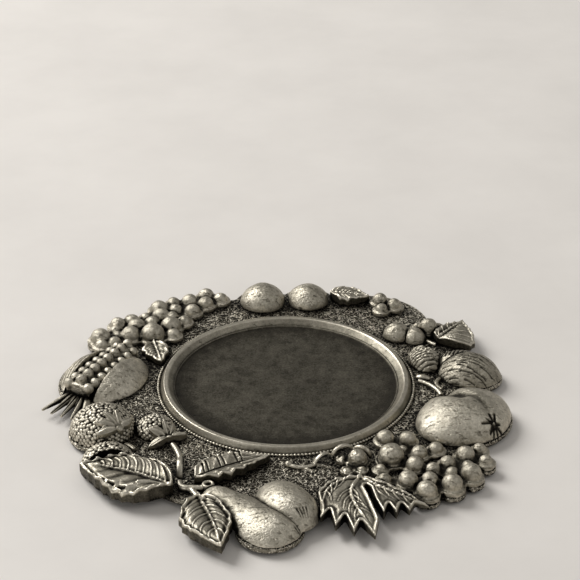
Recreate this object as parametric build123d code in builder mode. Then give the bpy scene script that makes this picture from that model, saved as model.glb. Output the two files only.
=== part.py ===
from build123d import *
import math
import os

os.makedirs("parts", exist_ok=True)

# Carcass, all lengths in millimetres
PAD_T = 1.0              # felt pad under the plate
PLATE_T = 2.0            # cast plate
GROUND = PAD_T + PLATE_T  # height of the stippled ground that the wreath lies on
FIT = 0.12               # air left between neighbouring pieces

# Well for the foot of a wine bottle
BOTTLE_D = 75.0          # foot of a common wine bottle
BOTTLE_PLAY = 4.2        # room round the bottle on the well floor
WELL_DEPTH = 2.6         # lip above the floor
FLOOR_T = 2.0            # metal under the bottle
STEP_W, STEP_H = 0.8, 0.6  # small rounded step round the floor
WALL_RUN = 2.1           # how far the wall leans out from step to lip
LIP_W = 1.5              # flat top of the lip
LIP_ROUND = 0.35
SKIRT_RUN = 1.5          # outer skirt flares to its foot
SPIGOT_IN = 2.2          # the well's underside drops into the plate this far inside the skirt
WIRE_D = 1.1             # milled wire round the foot of the skirt

FLOOR_R = BOTTLE_D / 2 + BOTTLE_PLAY
LIP_IN = FLOOR_R + STEP_W + WALL_RUN
LIP_OUT = LIP_IN + LIP_W
SKIRT_R = LIP_OUT + SKIRT_RUN
SPIGOT_R = SKIRT_R - SPIGOT_IN
FLOOR_Z = PAD_T + FLOOR_T
LIP_Z = FLOOR_Z + WELL_DEPTH
RING_OUT = SKIRT_R + FIT + WIRE_D

# Plate outline: a disc set forward of the well, with lobes that follow the fruit
PLATE_SHIFT = Vector(-1.0, -8.0)
PLATE_BAND = 26.4        # plate beyond the wire
PLATE_R = RING_OUT + PLATE_BAND
PAD_INSET = 9.0          # pad stops this far inside the plate


def spot(out, bearing):
    """Place on the plate: distance beyond the wire, and bearing round the well."""
    turn = math.radians(bearing)
    return Vector((RING_OUT + out) * math.cos(turn), (RING_OUT + out) * math.sin(turn))


def ahead(heading):
    """Unit vector of a heading in plan."""
    return Vector(math.cos(math.radians(heading)), math.sin(math.radians(heading)))


# The wreath's groups, each hung on one spot
PEARS = spot(26.5, -90)
BERRIES = spot(24.0, -154.6)
CORN = spot(18.0, 177.4)
LEFT_BUNCH = spot(12.5, 148.9)
BACK = spot(13.0, 90)
CHERRIES = spot(7.0, 35.5)
NUTS = spot(20.4, 4.6)
APPLE = spot(21.0, -24.0)
VINE = spot(15.4, -55)

LEAF_RIB = 0.9           # width of a midrib
LEAF_VEIN = 0.55         # width of a side vein
VEIN_RISE = 0.35         # veins stand this proud of the blade
GRAPE_LIFT = 0.72        # grape centre above the ground, in radii
BED_T = 1.8              # cast bed that joins a bunch
BED_EDGE = 1.1           # bed beyond each grape


def keep_above_ground():
    """Seats the piece in hand flat on the plate."""
    split(bisect_by=Plane.XY.offset(GROUND), keep=Keep.TOP)


def turned_fruit(place, heading, stations, sink, flat=1.0, dip=0.0, grow=0.0):
    """Fruit lying on the ground: an outline turned about its long axis, then sunk, flattened or dipped."""
    (first, last) = (stations[0][0] - grow, stations[-1][0] + grow)
    middle = [(along, radius + grow) for along, radius in stations[1:-1]]
    with BuildPart() as turned:
        with BuildSketch():
            with BuildLine():
                side = Spline((first, 0), *middle, (last, 0))
                Line(side @ 1, side @ 0)
            make_face()
        revolve(axis=Axis.X)
        if flat < 1.0:
            scale(by=(1, 1, flat))
    lie = Location((place.X, place.Y, GROUND - sink), (0, 0, heading)) * Location((0, 0, 0), (0, dip, 0))
    with BuildPart() as fruit:
        add(turned.part.moved(lie))
        keep_above_ground()
    return fruit.part


def domed_fruit(place, radius, height, grow=0.0):
    """Round fruit set upright: a quarter of an oval turned about a plumb axis."""
    turns = [math.radians(angle) for angle in (0, 30, 60, 90)]
    oval = [((radius + grow) * math.cos(t), (height + grow) * math.sin(t)) for t in turns]
    with BuildPart() as dome:
        with BuildSketch(Plane.XZ):
            with BuildLine():
                side = Spline(*oval, tangents=((0, 1), (-1, 0)))
                Polyline(side @ 1, (0, 0), side @ 0)
            make_face()
        revolve(axis=Axis.Z)
    return dome.part.moved(Location((place.X, place.Y, GROUND)))


def leaf_edge(length, width, teeth, bite, fullness):
    """Saw-toothed edge of half a leaf, base to tip."""
    points = []
    for step in range(1, 2 * teeth):
        share = step / (2 * teeth)
        swell = math.sin(math.pi * share ** fullness)
        cut = bite * swell if step % 2 == 0 else 0.0
        points.append((length * share, width * swell - cut))
    return points


def roofed(length, left, right, edge, crest, valley, droop, lift=0.0):
    """Space under a leaf's upper face: two barrels across, one long arch from base to tip."""
    across = Plane(origin=(0, 0, 0), x_dir=(0, 1, 0), z_dir=(1, 0, 0))
    with BuildPart() as roof:
        with BuildSketch(across):
            with BuildLine():
                Polyline((left, edge + lift), (left, 0), (-right, 0), (-right, edge + lift))
                ThreePointArc((-right, edge + lift), (-right / 2, crest + lift), (0, valley + lift))
                ThreePointArc((0, valley + lift), (left / 2, crest + lift), (left, edge + lift))
            make_face()
        extrude(amount=length)
        with BuildSketch(Plane.XZ):
            with BuildLine():
                Polyline((length, crest + lift - droop), (length, 0), (0, 0), (0, crest + lift))
                ThreePointArc(
                    (0, crest + lift), (length * 0.55, crest + lift - droop * 0.2),
                    (length, crest + lift - droop)
                )
            make_face()
        extrude(amount=left + right, both=True, mode=Mode.INTERSECT)
    return roof.part


def leaf(place, heading, length, left, right, teeth, veins, shape, bite=0.8, fullness=0.8):
    """Leaf on the ground: toothed outline under a ridged roof, with midrib and side veins."""
    edge, crest, valley, droop = shape
    outline = [(0, 0)]
    outline += leaf_edge(length, left, teeth, bite, fullness) + [(length, 0)]
    outline += [(x, -y) for x, y in reversed(leaf_edge(length, right, teeth, bite, fullness))]
    with BuildPart() as ribs:
        with BuildSketch():
            Polygon(*outline, align=None)
        extrude(amount=crest + VEIN_RISE)
        with BuildSketch():
            with Locations((length / 2, 0)):
                Rectangle(length, LEAF_RIB)
            for number in range(veins):
                start = length * (number + 0.5) / (veins + 1)
                for side in (left, -right):
                    with Locations(Location((start, 0), 55 if side > 0 else -55)):
                        Rectangle(2 * abs(side), LEAF_VEIN, align=(Align.MIN, Align.CENTER))
        extrude(amount=crest + VEIN_RISE, mode=Mode.INTERSECT)
        add(roofed(length, left, right, edge, crest, valley, droop, VEIN_RISE), mode=Mode.INTERSECT)
    with BuildPart() as blade:
        with BuildSketch():
            Polygon(*outline, align=None)
        extrude(amount=crest + VEIN_RISE)
        add(roofed(length, left, right, edge, crest, valley, droop), mode=Mode.INTERSECT)
        add(ribs.part)
    return blade.part.moved(Location((place.X, place.Y, GROUND), (0, 0, heading)))


def leaf_room(place, heading, length, left, right, teeth, veins, shape, bite=0.8, fullness=0.8):
    """Clear space for a leaf: its outline without teeth, grown by the fit and drawn up."""
    steps = [step / 12 for step in range(1, 12)]
    edge = [(length * at, math.sin(math.pi * at ** fullness)) for at in steps]
    outline = [(-FIT, 0)] + [(x, left * y + FIT) for x, y in edge] + [(length + FIT, 0)]
    outline += [(x, -right * y - FIT) for x, y in reversed(edge)]
    with BuildPart() as room:
        with BuildSketch():
            Polygon(*outline, align=None)
        extrude(amount=4 * shape[1])
    return room.part.moved(Location((place.X, place.Y, GROUND), (0, 0, heading)))


def bunch(place, grapes, lift=GRAPE_LIFT, grow=0.0):
    """Grapes cast together on a low bed; each grape is its offset and its radius."""
    with BuildPart() as cluster:
        with BuildSketch(Plane.XY.offset(GROUND)):
            for across, along, radius in grapes:
                with Locations((place.X + across, place.Y + along)):
                    Circle(radius + BED_EDGE + grow)
        extrude(amount=BED_T + grow)
        for across, along, radius in grapes:
            with Locations((place.X + across, place.Y + along, GROUND + lift * radius)):
                Sphere(radius + grow)
        keep_above_ground()
    return cluster.part


def wire(points, radius, rise=0.35):
    """Round stem through the points, lying a little into the ground."""
    with BuildPart() as run:
        with BuildLine(Plane.XY.offset(GROUND + rise)) as path:
            first = ThreePointArc(*[(p.X, p.Y) for p in points[:3]])
            for point in points[3:]:
                here, along = path.line @ 1, path.line % 1
                TangentArc((here.X, here.Y), (point.X, point.Y), tangent=(along.X, along.Y))
        with BuildSketch(Plane(origin=first @ 0, z_dir=first % 0)):
            Circle(radius)
        sweep()
        keep_above_ground()
    return run.part


def petals(hub, blades, reach):
    """Star of pointed sepals in plan, drawn up as a prism; each blade is bearing, length, width."""
    with BuildPart() as star:
        with BuildSketch(Plane.XY.offset(GROUND)):
            with Locations((hub.X, hub.Y)):
                Circle(min(blade[2] for blade in blades) * 0.6)
            for bearing, length, width in blades:
                with Locations(Location((hub.X, hub.Y), bearing)):
                    with BuildSketch(mode=Mode.PRIVATE) as blade:
                        with BuildLine():
                            ThreePointArc((0, 0), (length * 0.45, width / 2), (length, 0))
                            ThreePointArc((0, 0), (length * 0.45, -width / 2), (length, 0))
                        make_face()
                    add(blade.sketch)
        extrude(amount=reach)
    return star.part


# Felt pad
with BuildPart() as felt_pad:
    with Locations((PLATE_SHIFT.X, PLATE_SHIFT.Y)):
        Cylinder(PLATE_R - PAD_INSET, PAD_T, align=(Align.CENTER, Align.CENTER, Align.MIN))

# Well with its lip, leaning wall, step and flat floor
with BuildPart() as well_cup:
    with BuildSketch(Plane.XZ):
        with BuildLine():
            Polyline(
                (0, FLOOR_Z), (0, PAD_T), (SPIGOT_R, PAD_T), (SPIGOT_R, GROUND), (SKIRT_R, GROUND)
            )
            flare = ThreePointArc(
                (SKIRT_R, GROUND),
                (LIP_OUT + SKIRT_RUN * 0.28, GROUND + (LIP_Z - GROUND) * 0.4),
                (LIP_OUT, LIP_Z - LIP_ROUND),
            )
            RadiusArc(flare @ 1, (LIP_OUT - LIP_ROUND, LIP_Z), -LIP_ROUND)
            Line((LIP_OUT - LIP_ROUND, LIP_Z), (LIP_IN + LIP_ROUND, LIP_Z))
            RadiusArc((LIP_IN + LIP_ROUND, LIP_Z), (LIP_IN, LIP_Z - LIP_ROUND), -LIP_ROUND)
            ThreePointArc(
                (LIP_IN, LIP_Z - LIP_ROUND),
                (LIP_IN - WALL_RUN * 0.3, FLOOR_Z + WELL_DEPTH * 0.42),
                (FLOOR_R + STEP_W, FLOOR_Z + STEP_H),
            )
            ThreePointArc(
                (FLOOR_R + STEP_W, FLOOR_Z + STEP_H),
                (FLOOR_R + STEP_W * 0.3, FLOOR_Z + STEP_H * 0.75),
                (FLOOR_R, FLOOR_Z),
            )
            Line((FLOOR_R, FLOOR_Z), (0, FLOOR_Z))
        make_face()
    revolve(axis=Axis.Z)

# Milled wire round the skirt's foot, its underside cut flat on the plate
with BuildPart() as beaded_wire:
    with BuildSketch(Plane.XZ):
        with Locations((SKIRT_R + FIT + WIRE_D / 2, GROUND + WIRE_D * 0.3)):
            Circle(WIRE_D / 2)
        with Locations((SKIRT_R, GROUND)):
            Rectangle(4 * WIRE_D, WIRE_D, align=(Align.CENTER, Align.MAX), mode=Mode.SUBTRACT)
    revolve(axis=Axis.Z)

# Pears: the back one lies over the front one, whose belly is sunk deeper than its neck
PEAR_FRONT = (
    PEARS + Vector(-28, 5.5), -41,
    [(0, 0), (0.7, 2.8), (3, 5.2), (9, 7.2), (18, 9.6), (27, 12.6), (33, 13.3), (38.6, 11.2), (42.4, 6),
     (43.2, 0)], 0.3, 1.0, 11.8,
)
PEAR_BACK = (
    PEARS + Vector(-6.4, 9.6), -65,
    [(0, 0), (0.7, 3.0), (3, 6.0), (8.5, 9.4), (16, 11.0), (22.5, 10.2), (27.4, 6.8), (29.6, 3.0),
     (30.2, 0)], 2.4,
)
pear_front_room = turned_fruit(*PEAR_FRONT, grow=FIT)
pear_back_room = turned_fruit(*PEAR_BACK, grow=FIT)

with BuildPart() as pear_back:
    add(turned_fruit(*PEAR_BACK))

with BuildPart() as pear_front:
    add(turned_fruit(*PEAR_FRONT))
    add(pear_back_room, mode=Mode.SUBTRACT)

# Pear leaves; the large one lies over a strawberry
LEAF_LARGE = (PEARS + Vector(-38.5, 4.5), 158, 36, 11.0, 12.5, 9, 6, (2.2, 5.6, 3.8, 2.2))
with BuildPart() as pear_leaf_large:
    add(leaf(*LEAF_LARGE))

with BuildPart() as pear_leaf_front:
    add(leaf(PEARS + Vector(-30, -0.2), -72, 29.6, 8.4, 9.6, 7, 4, (2.2, 4.4, 3.2, 1.4)))
    add(pear_front_room, mode=Mode.SUBTRACT)

with BuildPart() as pear_leaf_inner:
    add(leaf(PEARS + Vector(-31.6, 10.0), 28, 29.6, 9.4, 4.4, 6, 5, (1.8, 4.0, 2.6, 1.2), 1.2, 0.72))
    add(pear_front_room, mode=Mode.SUBTRACT)
    add(pear_back_room, mode=Mode.SUBTRACT)

# Twig that joins the pears, the leaves and the strawberry stem
STEM_R = 1.1
TWIG = PEARS + Vector(-33, 6.5)
with BuildPart() as pear_stem:
    add(wire([TWIG + Vector(-3.5, 3.5), TWIG + Vector(-2.6, 0.6), TWIG], STEM_R, 1.2))
    add(wire([TWIG, TWIG + Vector(2.5, -0.1), TWIG + Vector(5, 0)], STEM_R, 1.2))
    add(wire([TWIG, TWIG + Vector(1.6, -2.2), TWIG + Vector(2.8, -5.2)], STEM_R, 0.9))
    with Locations((TWIG.X + 6.4, TWIG.Y + 0.4, GROUND + 2.4)):
        Torus(1.6, 0.6)
    add(pear_front_room, mode=Mode.SUBTRACT)

# Strawberries: the tucked one stops under the large leaf
STRAWBERRY_LARGE = (BERRIES + Vector(-0.4, -0.6), 12.0, 9.6)
STRAWBERRY_SMALL = (BERRIES + Vector(18.6, -1.0), 7.2, 6.0)
STRAWBERRY_TUCKED = (BERRIES + Vector(3.5, -21.5), 9.6, 7.0)
SEPAL_T = 1.2
large_room = domed_fruit(*STRAWBERRY_LARGE, grow=FIT)
small_room = domed_fruit(*STRAWBERRY_SMALL, grow=FIT)

with BuildPart() as strawberry_large:
    add(domed_fruit(*STRAWBERRY_LARGE))

with BuildPart() as strawberry_small:
    add(domed_fruit(*STRAWBERRY_SMALL))
    add(large_room, mode=Mode.SUBTRACT)

with BuildPart() as strawberry_tucked:
    add(domed_fruit(*STRAWBERRY_TUCKED))
    add(large_room, mode=Mode.SUBTRACT)
    add(leaf_room(*LEAF_LARGE), mode=Mode.SUBTRACT)

HUB_LARGE = BERRIES + Vector(6.6, -8.0)
SEPALS_LARGE = [(56, 6.8, 2.2), (108, 6.2, 2.8), (148, 7.4, 2.4), (180, 8.8, 2.4), (206, 9.0, 2.4)]
with BuildPart() as strawberry_calyx_large:
    add(petals(HUB_LARGE, SEPALS_LARGE, 14))
    add(domed_fruit(*STRAWBERRY_LARGE, grow=FIT + SEPAL_T), mode=Mode.INTERSECT)
    add(large_room, mode=Mode.SUBTRACT)

HUB_SMALL = BERRIES + Vector(24.0, -8.2)
SEPALS_SMALL = [(22, 6.8, 2.3), (74, 6.4, 2.3), (112, 6.0, 2.2), (168, 7.6, 2.5), (213, 8.8, 2.5)]
with BuildPart() as calyx_mound:
    add(domed_fruit(HUB_SMALL, 9.0, 3.4))
    add(domed_fruit(*STRAWBERRY_SMALL, grow=FIT + SEPAL_T))
with BuildPart() as strawberry_calyx_small:
    add(petals(HUB_SMALL, SEPALS_SMALL, 14))
    add(calyx_mound.part, mode=Mode.INTERSECT)
    add(small_room, mode=Mode.SUBTRACT)

# Strawberry stems, from each calyx to the twig and under the large leaf
STEM_LARGE = [(8.2, -10.2), (10.4, -11.8), (12.0, -14.0)]
STEM_SMALL = [(25.2, -10.2), (27.4, -14.9), (28.6, -20.6), (29.0, -30.0)]
with BuildPart() as strawberry_stem_large:
    add(wire([BERRIES + Vector(*point) for point in STEM_LARGE], STEM_R))
    add(large_room, mode=Mode.SUBTRACT)
    add(petals(HUB_LARGE, [(0, 0.2, 5.2)], 14), mode=Mode.SUBTRACT)
with BuildPart() as strawberry_stem_small:
    add(wire([BERRIES + Vector(*point) for point in STEM_SMALL], STEM_R))
    add(petals(HUB_SMALL, [(0, 0.2, 3.8), (22, 7.0, 2.5)], 14), mode=Mode.SUBTRACT)
    add(leaf_room(*LEAF_LARGE), mode=Mode.SUBTRACT)

# Apple: shoulders either side of the stem dimple, blossom end to the front
APPLE_FRUIT = (
    APPLE + Vector(-7.8, 13.4), -52,
    [(3, 0), (1.4, 3.7), (0.4, 7.6), (2, 12.2), (6, 16.5), (13, 19.4), (20, 17.9), (26, 12.4), (29, 6.5),
     (30, 0)], 0, 0.52,
)
with BuildPart() as apple:
    add(turned_fruit(*APPLE_FRUIT))

# Grapes, right front
GRAPES_RIGHT = [
    (-1.5, 11.8, 3.4), (6.4, 11.3, 3.3), (0, 0, 4.6), (10, 3, 3.1), (16, 5.6, 2.9), (26, 1.5, 3.5),
    (31.5, 5.6, 2.7), (33, -1.4, 2.6), (8, -4.5, 3.4), (19.5, -2.9, 3.0), (14, -6.6, 2.8),
    (27, -9.9, 3.8), (20, -15.9, 3.8), (5, -13.8, 3.7), (-3, -12.3, 2.6), (-4, -5.9, 2.2),
    (11, -19.9, 3.8), (12.5, -13.2, 3.2), (20.5, -8.8, 2.6), (26.5, -4.4, 2.4), (4.5, 6.0, 2.0),
]
with BuildPart() as grapes_right:
    add(bunch(VINE, GRAPES_RIGHT))

# Vine leaf: lobed outline under one shallow dome
VINE_ROOT = VINE + Vector(-11.5, -12.6)
VINE_EDGE = [
    (1.5, 0.5), (6.5, -2), (12.5, -6), (18.5, -10), (23, -13.6), (18.2, -13.2), (16, -18), (13.4, -14.2),
    (11.5, -20), (9, -15.2), (7.2, -20.6), (5, -14.5), (3.6, -7), (1.8, -4.5), (1, -7), (3.2, -15),
    (5.4, -23.8), (4, -31.2), (-0.6, -24), (-3, -29.6), (-5.6, -21.2), (-9, -26.6), (-10.6, -18),
    (-14, -22), (-14, -14), (-14.5, -8.5), (-11.5, -3.2), (-7.5, 0), (-2.5, -0.5),
]
VINE_VEINS = [
    [(0, 0), (-6, -2), (-11, -7), (-13, -15)],
    [(0, 0), (-3.2, -9), (-2, -17), (2.6, -27)],
    [(0, 0), (6, -6), (13, -10), (21.5, -13.2)],
]
LEAF_TOP = 4.6           # crown of the dome above the ground
DOME_R = 70.0
with BuildPart() as vine_blade:
    with BuildSketch(Plane.XY.offset(GROUND)):
        with Locations((VINE_ROOT.X, VINE_ROOT.Y)):
            Polygon(*VINE_EDGE, align=None)
    extrude(amount=LEAF_TOP + VEIN_RISE)
with BuildPart() as vine_veins:
    with BuildSketch(Plane.XY.offset(GROUND)):
        for vein in VINE_VEINS:
            with BuildLine(mode=Mode.PRIVATE) as run:
                Spline(*[(VINE_ROOT.X + x, VINE_ROOT.Y + y) for x, y in vein])
            trace(run.edges(), LEAF_RIB)
    extrude(amount=LEAF_TOP + VEIN_RISE)
    add(vine_blade.part, mode=Mode.INTERSECT)
    with Locations((VINE_ROOT.X, VINE_ROOT.Y - 12, GROUND + LEAF_TOP + VEIN_RISE - DOME_R)):
        Sphere(DOME_R, mode=Mode.INTERSECT)
with BuildPart() as vine_leaf:
    add(vine_blade.part)
    with Locations((VINE_ROOT.X, VINE_ROOT.Y - 12, GROUND + LEAF_TOP - DOME_R)):
        Sphere(DOME_R, mode=Mode.INTERSECT)
    add(vine_veins.part)
    add(bunch(VINE, GRAPES_RIGHT, grow=FIT), mode=Mode.SUBTRACT)
    add(pear_back_room, mode=Mode.SUBTRACT)

# Tendril and bud by the vine leaf
TENDRIL_R = 0.85
TENDRIL = [(-36, -1.2), (-31.5, -3.0), (-27, -1.4), (-20.6, 3.4), (-13, 6.4), (-7.4, 3.6)]
with BuildPart() as vine_tendril:
    add(wire([VINE + Vector(*point) for point in TENDRIL], TENDRIL_R))
    with Locations((VINE.X + TENDRIL[0][0], VINE.Y + TENDRIL[0][1], GROUND + TENDRIL_R * 0.5)):
        Sphere(TENDRIL_R * 1.6)
    keep_above_ground()

BUD = [(-11.8, -0.6, 3.5), (-17, 0.8, 1.5), (-10.6, -5.6, 1.6), (-15.6, -6.2, 1.5)]
with BuildPart() as vine_bud:
    add(bunch(VINE, BUD))

# Apple stem, its pod and the second hooked stem
APPLE_STEM = [(-13.7, 29.3), (-9.4, 26.2), (-5.8, 19.2)]
APPLE_HOOK = [(-5.2, 31.0), (-6.9, 28.4), (-5.2, 23.2)]
with BuildPart() as apple_stem:
    add(wire([APPLE + Vector(*point) for point in APPLE_STEM], 0.9))
with BuildPart() as apple_hook:
    add(wire([APPLE + Vector(*point) for point in APPLE_HOOK], 0.8))
    add(apple_stem.part, mode=Mode.SUBTRACT)
POD = [(0, 0), (0.4, 0.8), (2, 1.6), (4, 1.6), (5.8, 0.8), (6.2, 0)]
with BuildPart() as apple_pod:
    add(turned_fruit(APPLE + Vector(-14.8, 32.6), -14, POD, 0.2))

# Nuts: hatched almond in its split hull, hazelnut in its frill
ALMOND = (
    NUTS + Vector(-12.4, 4.0), -14,
    [(0, 0), (0.8, 2.8), (3, 6.2), (8, 10.1), (14, 11.4), (20, 10.0), (24.6, 6.0), (26.6, 2.6), (27.2, 0)],
    3.4,
)
almond_room = turned_fruit(*ALMOND, grow=FIT)
with BuildPart() as almond:
    add(turned_fruit(*ALMOND))

HULL = (
    NUTS + Vector(-12.4, 8.4), -14,
    [(0, 0), (0.8, 2.8), (3, 5.8), (11, 8.8), (19, 5.8), (21.2, 2.8), (22, 0)], 2.6,
)
with BuildPart() as almond_hull:
    add(turned_fruit(*HULL))
    add(almond_room, mode=Mode.SUBTRACT)

HAZELNUT = (
    NUTS + Vector(-18.6, 15.6), -60,
    [(0, 0), (0.5, 2.1), (2, 4.2), (7.5, 6.0), (12.4, 4.6), (14.8, 2.1), (15.4, 0)], 0.6,
)
hazelnut_room = turned_fruit(*HAZELNUT, grow=FIT)
with BuildPart() as hazelnut:
    add(turned_fruit(*HAZELNUT))
    add(almond_room, mode=Mode.SUBTRACT)
    add(turned_fruit(*HULL, grow=FIT), mode=Mode.SUBTRACT)

FRILL_T = 1.1
nut_middle = HAZELNUT[0] + ahead(HAZELNUT[1]) * 7
with BuildPart() as hazelnut_frill:
    add(turned_fruit(*HAZELNUT, grow=FIT + FRILL_T))
    with Locations(Location((nut_middle.X, nut_middle.Y, GROUND), (0, 0, HAZELNUT[1] - 90))):
        Box(40, 40, 40, align=(Align.MIN, Align.CENTER, Align.CENTER), mode=Mode.INTERSECT)
    add(hazelnut_room, mode=Mode.SUBTRACT)
    add(turned_fruit(*HULL, grow=FIT), mode=Mode.SUBTRACT)
    add(almond_room, mode=Mode.SUBTRACT)

# Cherries, berry sprig, leaf and its twig, right back
CHERRY_LARGE = (CHERRIES + Vector(-1.6, 2.0), 5.6, 6.0)
CHERRY_SMALL = (CHERRIES + Vector(5.2, -0.6), 4.6, 5.2)
with BuildPart() as cherry_large:
    add(domed_fruit(*CHERRY_LARGE))
with BuildPart() as cherry_small:
    add(domed_fruit(*CHERRY_SMALL))
    add(domed_fruit(*CHERRY_LARGE, grow=FIT), mode=Mode.SUBTRACT)

BERRY = [(11.0, 4.6, 3.8), (7.0, 6.2, 2.2), (14.6, 7.4, 1.8)]
with BuildPart() as berry_sprig:
    add(bunch(CHERRIES, BERRY))
    add(domed_fruit(*CHERRY_SMALL, grow=FIT), mode=Mode.SUBTRACT)

CHERRY_LEAF = (CHERRIES + Vector(13.8, -4.2), 50, 18.0, 4.4, 13.4, 6, 4, (2.0, 4.2, 3.0, 1.4), 0.8, 0.62)
with BuildPart() as cherry_leaf:
    add(leaf(*CHERRY_LEAF))
    add(bunch(CHERRIES, BERRY, grow=FIT), mode=Mode.SUBTRACT)
    add(turned_fruit(*HULL, grow=FIT), mode=Mode.SUBTRACT)
    add(almond_room, mode=Mode.SUBTRACT)

with BuildPart() as cherry_twig:
    add(wire([CHERRIES + Vector(9.6, -1.6), CHERRIES + Vector(11.4, -3.6), CHERRIES + Vector(13.4, -5.2)], 0.9))
    add(leaf_room(*CHERRY_LEAF), mode=Mode.SUBTRACT)
    add(bunch(CHERRIES, BERRY, grow=FIT), mode=Mode.SUBTRACT)
    add(domed_fruit(*CHERRY_SMALL, grow=FIT), mode=Mode.SUBTRACT)
    add(turned_fruit(*HULL, grow=FIT), mode=Mode.SUBTRACT)

# Corn: kernels in rows on a faceted cob, a husk on either side, a stalk of split strips
COB_LIE = 61
COB_FOOT = CORN + Vector(-10.8, -13.7)
COB_R, COB_LONG, COB_RISE = 5.0, 34.0, 1.0
KERNEL_R = 2.15
KERNEL_ROWS = 8
KERNEL_PITCH = 4.4
KERNEL_LEAN = 47         # turn from one row of kernels to the next, one facet of the cob each
KERNEL_SEAT = 5.8
COB_PLANE = Plane(
    origin=(COB_FOOT.X, COB_FOOT.Y, GROUND + COB_RISE), x_dir=(0, 0, 1), z_dir=tuple(ahead(COB_LIE))
)
corners = [ahead(KERNEL_LEAN * turn) * (COB_R / math.cos(math.radians(KERNEL_LEAN / 2)))
           for turn in (-1.5, -0.5, 0.5, 1.5)]
with BuildPart() as corn_cob:
    with BuildSketch(COB_PLANE):
        Polygon(
            (-COB_RISE, corners[0].Y), *[(corner.X, corner.Y) for corner in corners],
            (-COB_RISE, corners[-1].Y), align=None,
        )
    extrude(amount=COB_LONG)
    for row in range(KERNEL_ROWS):
        taper = 1 - 0.15 * (row / KERNEL_ROWS) ** 2
        for column in (-1, 0, 1):
            lean = math.radians(KERNEL_LEAN * column)
            run = 2.4 + KERNEL_PITCH * (row - 0.4 * abs(column) + 0.1)
            where = COB_FOOT + ahead(COB_LIE) * run
            where += ahead(COB_LIE + 90) * (KERNEL_SEAT * taper * math.sin(lean))
            with Locations((where.X, where.Y, GROUND + COB_RISE + KERNEL_SEAT * taper * math.cos(lean))):
                Sphere(KERNEL_R * taper)

HUSK = (
    CORN + Vector(-12.0, -17.8), COB_LIE,
    [(0, 0), (0.6, 6.5), (4, 12.6), (11, 17.4), (20, 19.2), (29, 17.6), (37, 12.8), (41.4, 6.5),
     (42.2, 0)], 10.0,
)
COB_HALF = KERNEL_SEAT * math.sin(math.radians(KERNEL_LEAN)) + KERNEL_R + FIT
with BuildPart() as husk_pair:
    add(turned_fruit(*HUSK))
    with Locations(Location((COB_FOOT.X, COB_FOOT.Y, GROUND), (0, 0, COB_LIE))):
        Box(120, 2 * COB_HALF, 60, mode=Mode.SUBTRACT)
husks = husk_pair.part.solids().sort_by(Axis.X)
with BuildPart() as corn_husk_outer:
    add(husks[0])
with BuildPart() as corn_husk_inner:
    add(husks[-1])

STALK_STRIPS = 5
STRIP_R, STRIP_TIP, STRIP_LONG = 2.0, 0.5, 16.8
with BuildPart() as corn_stalk:
    for strip in range(STALK_STRIPS):
        aside = (STALK_STRIPS - 1) / 2 - strip
        start = COB_FOOT + ahead(COB_LIE + 90) * (1.4 * aside) + ahead(COB_LIE) * 3
        along = tuple(ahead(COB_LIE + 187 - 10 * aside))
        with Locations(Plane(origin=(start.X, start.Y, GROUND + 0.4), z_dir=along)):
            Cone(STRIP_R, STRIP_TIP, STRIP_LONG, align=(Align.CENTER, Align.CENTER, Align.MIN))
    keep_above_ground()
    with Locations(Location((COB_FOOT.X, COB_FOOT.Y, GROUND), (0, 0, COB_LIE))):
        Box(60, 60, 60, align=(Align.MIN, Align.CENTER, Align.CENTER), mode=Mode.SUBTRACT)
    add(turned_fruit(*HUSK, grow=FIT), mode=Mode.SUBTRACT)
    add(large_room, mode=Mode.SUBTRACT)

# Grapes, left back: lower and broader than the right bunch
LOW_LIFT = 0.5
GRAPES_LEFT = [
    (-20.3, -2.2, 4.2), (-19.6, -6.8, 2.9), (-14.3, 7.9, 3.6), (-14.6, 3.7, 3.0), (-13.8, -0.3, 2.8),
    (-14.6, -5.3, 3.0), (-9, 10.6, 3.6), (-6.8, 6.2, 3.9), (-8.6, -0.3, 4.1), (-3.6, 14.7, 2.6),
    (-1, 9.4, 3.4), (0, 0, 4.9), (1.2, 20.6, 4.0), (2.2, 15.2, 3.7), (6.7, 25.6, 3.2), (7.7, 20.4, 3.1),
    (6.7, 14.7, 2.9), (6.7, 6.8, 4.3), (7.9, 0.9, 3.1), (11.7, 11.2, 3.0), (13.2, 26.7, 3.7),
    (14.7, 19.2, 3.5), (19.7, 25.2, 3.5), (19.7, 31.7, 3.6), (25.7, 29.2, 3.2),
]
with BuildPart() as grapes_left:
    add(bunch(LEFT_BUNCH, GRAPES_LEFT, LOW_LIFT))
    add(turned_fruit(*HUSK, grow=FIT), mode=Mode.SUBTRACT)
    with Locations(Location((COB_FOOT.X, COB_FOOT.Y, GROUND), (0, 0, COB_LIE))):
        Box(2 * 38.4, 2 * COB_HALF, 60, mode=Mode.SUBTRACT)

with BuildPart() as grape_leaf_left:
    add(leaf(LEFT_BUNCH + Vector(0.5, -4.4), -75, 16.2, 5.2, 6.0, 4, 3, (1.8, 3.4, 2.4, 0.9), bite=1.2))
    add(turned_fruit(*HUSK, grow=FIT), mode=Mode.SUBTRACT)
    add(bunch(LEFT_BUNCH, GRAPES_LEFT, LOW_LIFT, grow=FIT), mode=Mode.SUBTRACT)

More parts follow.
